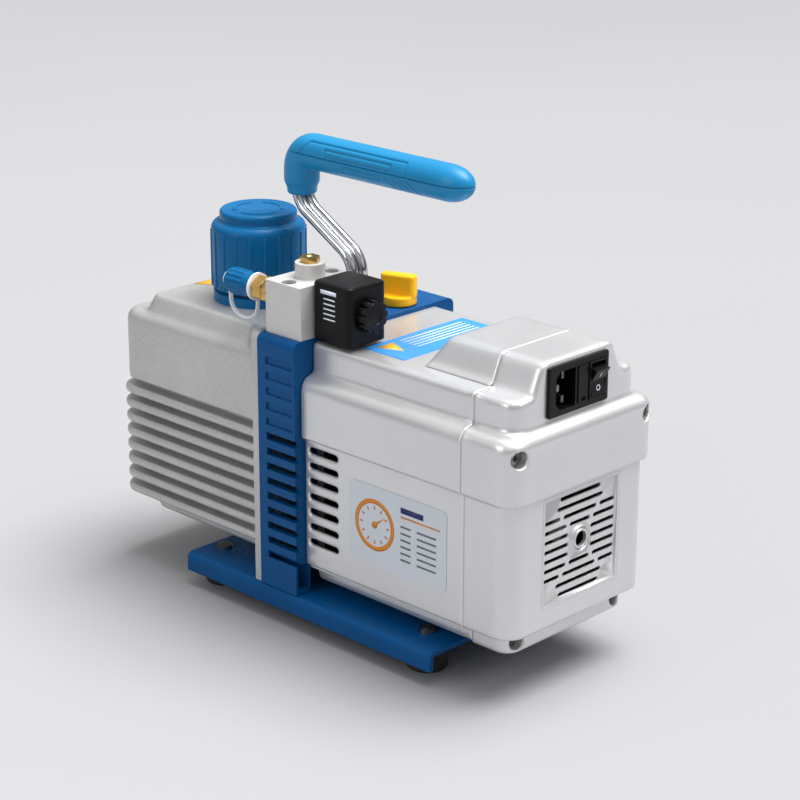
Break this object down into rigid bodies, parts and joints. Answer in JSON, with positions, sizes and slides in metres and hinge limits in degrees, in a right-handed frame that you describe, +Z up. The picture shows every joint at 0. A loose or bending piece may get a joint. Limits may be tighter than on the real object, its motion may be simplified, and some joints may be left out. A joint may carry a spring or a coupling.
{
  "type": "vacuum pump",
  "caption": "Rotary vane vacuum pump with a finned oil tank, exhaust cap, flare inlet, solenoid valve, carrying handle and fan-cooled motor housing on a base plate.",
  "frame": {"origin": "middle of the overall box in plan, at the floor under the feet", "axes": "+X from the oil tank to the motor's fan end, +Y from the valve side to the knob side, +Z up"},
  "size_m": [0.3408, 0.1386, 0.2875],
  "materials": {
    "blue_paint": "satin paint",
    "black_rubber": "matte",
    "bolt_steel": "machined",
    "cast_silver": "fine cast, painted silver",
    "clear_glass": "clear",
    "brass": "machined",
    "blue_plastic": "moulded",
    "filter_paper": "matte fibre",
    "block_aluminium": "milled, satin anodised",
    "white_plastic": "soft moulded",
    "black_plastic": "moulded, fine texture",
    "yellow_plastic": "moulded",
    "chrome": "polished",
    "blue_grip": "soft moulded",
    "silver_plastic": "silver metallic, satin",
    "label_film": "printed film",
    "blue_film": "printed film",
    "core_steel": "laminated",
    "copper_wire": "enamelled",
    "cast_iron": "ground",
    "vane_carbon": "carbon composite"
  },
  "bodies": {
    "housing": {"armature_tube": "bolt_steel", "base_plate": "blue_paint", "block_screws": "bolt_steel", "bottom_tray": "silver_plastic", "cap_strap": "white_plastic", "coil_nut": "black_plastic", "cover_screws": "bolt_steel", "drain_plug": "brass", "end_bells": "cast_silver", "end_cover": "silver_plastic", "exhaust_o_ring": "black_rubber", "exhaust_ring": "blue_plastic", "foot_screws": "bolt_steel", "grip_lower": "blue_grip", "grip_upper": "blue_grip", "handle_nuts": "bolt_steel", "handle_rod": "chrome", "inlet_fitting": "brass", "inlet_module": "black_plastic", "inlet_pins": "brass", "lower_shell": "silver_plastic", "manifold_block": "block_aluminium", "mist_filter": "filter_paper", "motor_bearings": "bolt_steel", "oil_tank": "cast_silver", "plunger_spring": "bolt_steel", "port_plug": "brass", "pump_end_plate": "cast_iron", "pump_flange": "cast_silver", "pump_stator": "cast_iron", "rating_label": "label_film", "rubber_feet": "black_rubber", "run_capacitor": "white_plastic", "saddle_bolts": "bolt_steel", "saddle_bracket": "blue_paint", "sight_ring": "bolt_steel", "sight_window": "clear_glass", "solenoid_coil": "black_plastic", "stator_core": "core_steel", "stator_winding": "copper_wire", "tank_gasket": "black_rubber", "tank_screws": "bolt_steel", "terminal_hood": "silver_plastic", "top_cover": "silver_plastic", "top_label": "blue_film"},
    "exhaust_cap": {"exhaust_cap": "blue_plastic"},
    "flare_cap": {"flare_cap": "blue_plastic"},
    "ballast_knob": {"gas_ballast_knob": "yellow_plastic"},
    "power_rocker": {"rocker_switch": "black_plastic"},
    "fuse_drawer": {"fuse_drawer": "black_plastic", "glass_fuse": "clear_glass"},
    "drive_line": {"rotor_core": "core_steel", "motor_shaft": "bolt_steel", "cooling_fan": "black_plastic", "shaft_coupling": "black_rubber", "pump_rotor": "cast_iron", "pump_vanes": "vane_carbon"},
    "valve_plunger": {"plunger": "bolt_steel"}
  },
  "joints": [
    {"name": "exhaust_cap_turn", "type": "hinge", "parent": "housing", "child": "exhaust_cap", "pos_m": [-0.093, -0.006, 0.2], "axis": [0, 0, 1], "range_deg": [0, 360]},
    {"name": "flare_cap_pull", "type": "slide", "parent": "housing", "child": "flare_cap", "axis": [-1, 0, 0], "range_m": [0, 0.018], "deforming": ["cap_strap"]},
    {"name": "ballast_knob_turn", "type": "hinge", "parent": "housing", "child": "ballast_knob", "pos_m": [-0.01, 0.034, 0.19], "axis": [0, 0, 1], "range_deg": [0, 90]},
    {"name": "power_rocker_tilt", "type": "hinge", "parent": "housing", "child": "power_rocker", "pos_m": [0.16, 0.0135, 0.18], "axis": [0, -1, 0], "range_deg": [0, 24]},
    {"name": "fuse_drawer_pull", "type": "slide", "parent": "housing", "child": "fuse_drawer", "axis": [1, 0, 0], "range_m": [0, 0.018]},
    {"name": "drive_line_spin", "type": "hinge", "parent": "housing", "child": "drive_line", "pos_m": [0, 0, 0.088], "axis": [1, 0, 0], "continuous": true},
    {"name": "valve_plunger_lift", "type": "slide", "parent": "housing", "child": "valve_plunger", "axis": [1, 0, 0], "range_m": [0, 0.0025], "stiffness_N_per_m": 400, "springref_m": -0.002, "deforming": ["plunger_spring"]}
  ]
}
